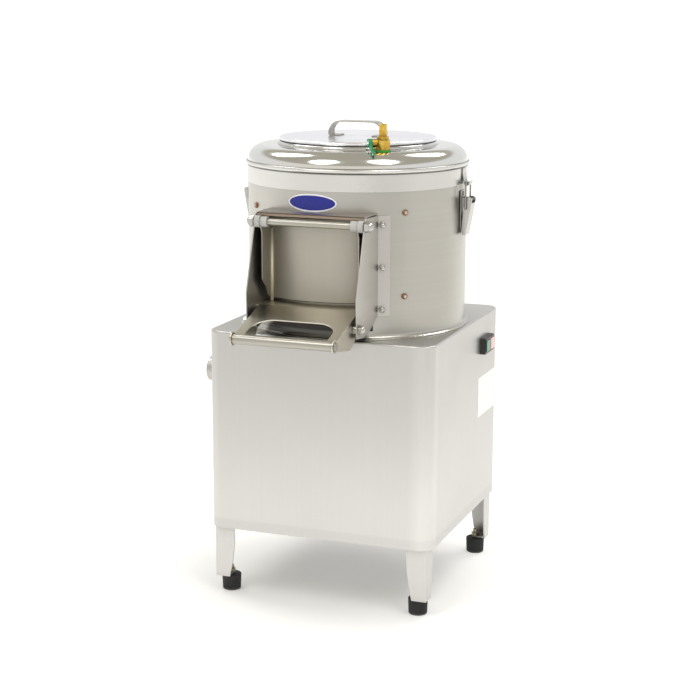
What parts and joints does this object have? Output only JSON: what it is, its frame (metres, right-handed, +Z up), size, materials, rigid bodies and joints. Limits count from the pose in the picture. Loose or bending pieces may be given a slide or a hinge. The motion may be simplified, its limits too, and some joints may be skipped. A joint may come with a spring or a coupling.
{
  "type": "electric potato peeler",
  "caption": "Floor-standing electric potato peeler: drum with toggle-latched lid, water valve, discharge chute and lever, and a belt-driven abrasive disc, on a cabinet with feet.",
  "frame": {"origin": "middle of the outline at floor level", "axes": "+Z up, -Y towards the discharge chute at the front, +X towards the switch on the right"},
  "size_m": [0.4996, 0.5782, 0.8239],
  "materials": {
    "sheet_brushed": "brushed stainless sheet",
    "drum_steel": "rolled stainless sheet",
    "polished_steel": "polished stainless",
    "hardware_steel": "bright fasteners",
    "rubber_dark": "moulded rubber",
    "belt_rubber": "V-belt rubber",
    "abrasive": "silicon carbide grit",
    "cast_aluminium": "as-cast aluminium",
    "cast_iron": "machined cast iron",
    "motor_paint": "grey-blue enamel",
    "brass": "turned brass",
    "green_plastic": "green moulding",
    "start_green": "green push button",
    "stop_red": "red push button",
    "black_plastic": "black moulding",
    "white_nylon": "turned nylon",
    "edge_seal": "sealing rubber"
  },
  "bodies": {
    "machine": {"cabinet_shell": "sheet_brushed", "rear_panel": "sheet_brushed", "panel_screws": "hardware_steel", "base_pan": "sheet_brushed", "legs": "sheet_brushed", "rubber_feet": "rubber_dark", "foot_studs": "hardware_steel", "cable_gland": "black_plastic", "drum_shell": "drum_steel", "drum_floor": "drum_steel", "drum_liner": "abrasive", "liner_screws": "hardware_steel", "drain_elbow": "rubber_dark", "drain_spigot": "drum_steel", "bearing_housing": "cast_iron", "ball_bearings": "hardware_steel", "shaft_seal": "edge_seal", "v_belt": "belt_rubber", "motor_housing": "motor_paint", "motor_mount": "sheet_brushed", "lid_ring": "polished_steel", "lid_gasket": "edge_seal", "latch_keepers": "hardware_steel", "latch_bases": "sheet_brushed", "valve_body": "brass", "valve_seal": "green_plastic", "chute_cheek_left": "sheet_brushed", "chute_cheek_right": "sheet_brushed", "chute_hood": "sheet_brushed", "chute_floor": "sheet_brushed", "cheek_bolts": "hardware_steel", "hinge_rod": "polished_steel", "cap_nuts": "polished_steel", "nylon_bushes": "white_nylon", "mouth_frame": "drum_steel", "mouth_seal": "edge_seal", "pivot_bolts": "hardware_steel", "switch_housing": "black_plastic"},
    "rotor": {"peeling_disc": "cast_aluminium", "disc_grit": "abrasive", "disc_nut": "hardware_steel", "drive_shaft": "hardware_steel", "driven_pulley": "cast_iron"},
    "motor_rotor": {"motor_pulley": "cast_iron", "motor_shaft": "hardware_steel"},
    "door": {"chute_door": "drum_steel"},
    "discharge_lever": {"lever_plate": "sheet_brushed", "handle_bar": "polished_steel"},
    "lid": {"lid_disc": "polished_steel", "lid_handle": "polished_steel"},
    "latch_right": {"latch_lever_right": "polished_steel"},
    "latch_left": {"latch_lever_left": "polished_steel"},
    "bail_right": {"latch_bail_right": "hardware_steel"},
    "bail_left": {"latch_bail_left": "hardware_steel"},
    "valve_key": {"valve_ball": "hardware_steel", "valve_lever": "green_plastic"},
    "start": {"start_button": "start_green"},
    "stop": {"stop_button": "stop_red"}
  },
  "joints": [
    {"name": "disc_spin", "type": "hinge", "parent": "machine", "child": "rotor", "pos_m": [0.03575, 0.06358, 0.5], "axis": [0, 0, 1], "continuous": true},
    {"name": "motor_spin", "type": "hinge", "parent": "machine", "child": "motor_rotor", "pos_m": [0.13075, 0.17058, 0.319], "axis": [0, 0, 1], "continuous": true},
    {"name": "door_swing", "type": "hinge", "parent": "machine", "child": "door", "pos_m": [0.03575, -0.16342, 0.667], "axis": [-1, 0, 0], "range_deg": [0, 60]},
    {"name": "lever_swing", "type": "hinge", "parent": "machine", "child": "discharge_lever", "pos_m": [0.03575, -0.19343, 0.504], "axis": [1, 0, 0], "range_deg": [-90, 0]},
    {"name": "lid_lift", "type": "slide", "parent": "machine", "child": "lid", "axis": [0, 0, 1], "range_m": [0, 0.2]},
    {"name": "latch_right_swing", "type": "hinge", "parent": "machine", "child": "latch_right", "pos_m": [0.24125, 0.06358, 0.69], "axis": [0, -1, 0], "range_deg": [0, 90]},
    {"name": "latch_left_swing", "type": "hinge", "parent": "machine", "child": "latch_left", "pos_m": [-0.16975, 0.06358, 0.69], "axis": [0, 1, 0], "range_deg": [0, 90]},
    {"name": "bail_right_swing", "type": "hinge", "parent": "latch_right", "child": "bail_right", "pos_m": [0.23625, 0.06358, 0.676], "axis": [0, -1, 0], "range_deg": [-62, 0]},
    {"name": "bail_left_swing", "type": "hinge", "parent": "latch_left", "child": "bail_left", "pos_m": [-0.16475, 0.06358, 0.676], "axis": [0, 1, 0], "range_deg": [-62, 0]},
    {"name": "valve_turn", "type": "hinge", "parent": "machine", "child": "valve_key", "pos_m": [0.12598, -0.06245, 0.7939], "axis": [-0.8131, -0.5821, 0], "range_deg": [0, 90]},
    {"name": "start_press", "type": "slide", "parent": "machine", "child": "start", "axis": [-1, 0, 0], "range_m": [0, 0.003], "stiffness_N_per_m": 400},
    {"name": "stop_press", "type": "slide", "parent": "machine", "child": "stop", "axis": [-1, 0, 0], "range_m": [0, 0.003], "stiffness_N_per_m": 400}
  ],
  "couplings": [
    {"joint": "motor_spin", "follows": "disc_spin", "ratio": 3.2069},
    {"joint": "bail_right_swing", "follows": "latch_right_swing", "ratio": -0.678},
    {"joint": "bail_left_swing", "follows": "latch_left_swing", "ratio": -0.678}
  ]
}
